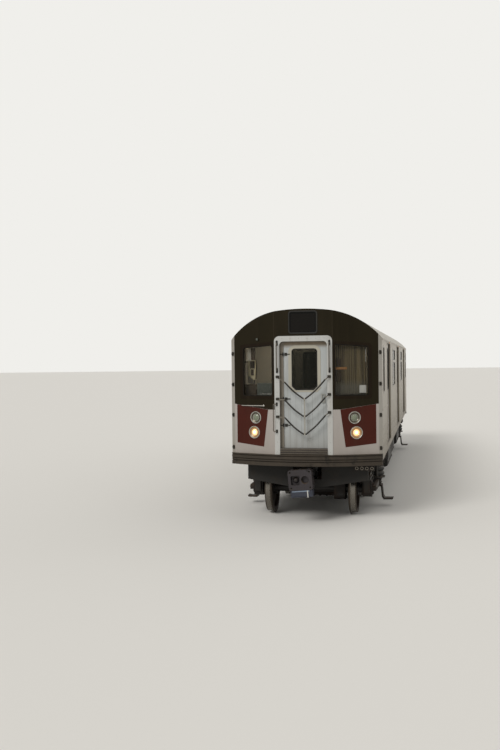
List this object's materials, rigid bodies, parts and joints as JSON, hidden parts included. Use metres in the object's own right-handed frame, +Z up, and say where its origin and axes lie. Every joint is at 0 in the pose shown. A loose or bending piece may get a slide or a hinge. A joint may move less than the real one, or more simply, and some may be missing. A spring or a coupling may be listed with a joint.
{
  "type": "metro car",
  "caption": "Single metro car with a faceted black cab front, maroon lamp panels, stainless sides, pocketed sliding doors, two powered trucks and an end coupler.",
  "frame": {"origin": "centre of the car's length and width, at the tips of the wheel flanges, 28 mm below the rail head", "axes": "+Z up, -Y out of the cab end, +X to the right of a viewer who faces the cab end"},
  "size_m": [2.8, 15.646, 3.6476],
  "materials": {
    "stainless": "brushed",
    "black_paint": "satin",
    "maroon_paint": "gloss",
    "white_paint": "satin",
    "grey_paint": "satin",
    "frame_paint": "matt, dusty",
    "beam_paint": "satin",
    "wheel_steel": "rolled tread, rusty web",
    "spring_rubber": "matt",
    "chain_rubber": "matt sleeve",
    "floor_vinyl": "speckled",
    "ceiling_panel": "satin",
    "bench_plastic": "moulded",
    "desk_plastic": "grained",
    "seat_cloth": "woven",
    "pane": "tinted",
    "lamp": "clear lens",
    "sign_black": "blank panel",
    "case_paint": "satin, dusty",
    "polished": "polished tube"
  },
  "bodies": {
    "car_body": {"air_tanks": "case_paint", "anticlimbers": "beam_paint", "benches": "bench_plastic", "cab_desk": "desk_plastic", "cab_mask": "black_paint", "cab_partition": "grey_paint", "cab_seat": "seat_cloth", "ceiling": "ceiling_panel", "chain_brackets": "black_paint", "corner_posts": "stainless", "door_portal": "grey_paint", "draft_gear": "frame_paint", "equipment_cases": "case_paint", "floor": "floor_vinyl", "grab_bars": "polished", "grab_poles": "polished", "headlamps": "lamp", "left_side_wall": "stainless", "maroon_panels": "maroon_paint", "nose_panels": "stainless", "rear_end_wall": "stainless", "right_side_wall": "stainless", "roof": "white_paint", "roof_units": "grey_paint", "route_sign": "sign_black", "safety_chains": "chain_rubber", "underframe": "frame_paint", "window_glass": "pane", "window_rims": "stainless", "wipers": "polished"},
    "front_door": {"front_door": "grey_paint", "front_door_glass": "pane"},
    "rear_door": {"rear_door": "stainless", "rear_door_glass": "pane"},
    "cab_door": {"cab_door": "grey_paint"},
    "left_fore_leaves": {"left_fore_leaves": "stainless"},
    "left_aft_leaves": {"left_aft_leaves": "stainless"},
    "right_fore_leaves": {"right_fore_leaves": "stainless"},
    "right_aft_leaves": {"right_aft_leaves": "stainless"},
    "front_coupler": {"front_coupler": "frame_paint", "electric_coupler": "frame_paint"},
    "rear_drawbar": {"rear_drawbar": "frame_paint"},
    "front_truck": {"front_truck_frame": "frame_paint", "front_axle_boxes": "frame_paint", "front_springs": "spring_rubber", "front_motors": "frame_paint", "front_shoe_gear": "frame_paint"},
    "front_lead_wheelset": {"front_lead_wheelset": "wheel_steel"},
    "front_trail_wheelset": {"front_trail_wheelset": "wheel_steel"},
    "rear_truck": {"rear_truck_frame": "frame_paint", "rear_axle_boxes": "frame_paint", "rear_springs": "spring_rubber", "rear_motors": "frame_paint", "rear_shoe_gear": "frame_paint"},
    "rear_lead_wheelset": {"rear_lead_wheelset": "wheel_steel"},
    "rear_trail_wheelset": {"rear_trail_wheelset": "wheel_steel"}
  },
  "joints": [
    {"name": "front_truck_yaw", "type": "hinge", "parent": "car_body", "child": "front_truck", "pos_m": [0, -5.485, 0.975], "axis": [0, 0, 1], "range_deg": [-7, 7]},
    {"name": "front_lead_wheelset_roll", "type": "hinge", "parent": "front_truck", "child": "front_lead_wheelset", "pos_m": [0, -6.525, 0.46], "axis": [1, 0, 0], "continuous": true},
    {"name": "front_trail_wheelset_roll", "type": "hinge", "parent": "front_truck", "child": "front_trail_wheelset", "pos_m": [0, -4.445, 0.46], "axis": [1, 0, 0], "continuous": true},
    {"name": "rear_truck_yaw", "type": "hinge", "parent": "car_body", "child": "rear_truck", "pos_m": [0, 5.485, 0.975], "axis": [0, 0, 1], "range_deg": [-7, 7]},
    {"name": "rear_lead_wheelset_roll", "type": "hinge", "parent": "rear_truck", "child": "rear_lead_wheelset", "pos_m": [0, 4.445, 0.46], "axis": [1, 0, 0], "continuous": true},
    {"name": "rear_trail_wheelset_roll", "type": "hinge", "parent": "rear_truck", "child": "rear_trail_wheelset", "pos_m": [0, 6.525, 0.46], "axis": [1, 0, 0], "continuous": true},
    {"name": "front_coupler_swing", "type": "hinge", "parent": "car_body", "child": "front_coupler", "pos_m": [0, -6.96, 0.758], "axis": [0, 0, 1], "range_deg": [-20, 20]},
    {"name": "rear_drawbar_swing", "type": "hinge", "parent": "car_body", "child": "rear_drawbar", "pos_m": [0, 6.96, 0.758], "axis": [0, 0, 1], "range_deg": [-20, 20]},
    {"name": "front_door_hinge", "type": "hinge", "parent": "car_body", "child": "front_door", "pos_m": [-0.367, -7.5245, 2.2], "axis": [0, 0, 1], "range_deg": [0, 90]},
    {"name": "rear_door_hinge", "type": "hinge", "parent": "car_body", "child": "rear_door", "pos_m": [-0.4, 7.5295, 2.2], "axis": [0, 0, -1], "range_deg": [0, 90]},
    {"name": "cab_door_hinge", "type": "hinge", "parent": "car_body", "child": "cab_door", "pos_m": [0.356, -6.3, 2.2], "axis": [0, 0, 1], "range_deg": [0, 90]},
    {"name": "left_fore_leaves_slide", "type": "slide", "parent": "car_body", "child": "left_fore_leaves", "axis": [0, -1, 0], "range_m": [0, 0.64]},
    {"name": "left_aft_leaves_slide", "type": "slide", "parent": "car_body", "child": "left_aft_leaves", "axis": [0, 1, 0], "range_m": [0, 0.64]},
    {"name": "right_fore_leaves_slide", "type": "slide", "parent": "car_body", "child": "right_fore_leaves", "axis": [0, -1, 0], "range_m": [0, 0.64]},
    {"name": "right_aft_leaves_slide", "type": "slide", "parent": "car_body", "child": "right_aft_leaves", "axis": [0, 1, 0], "range_m": [0, 0.64]}
  ],
  "couplings": [
    {"joint": "left_aft_leaves_slide", "follows": "left_fore_leaves_slide", "ratio": 1},
    {"joint": "right_aft_leaves_slide", "follows": "right_fore_leaves_slide", "ratio": 1}
  ]
}
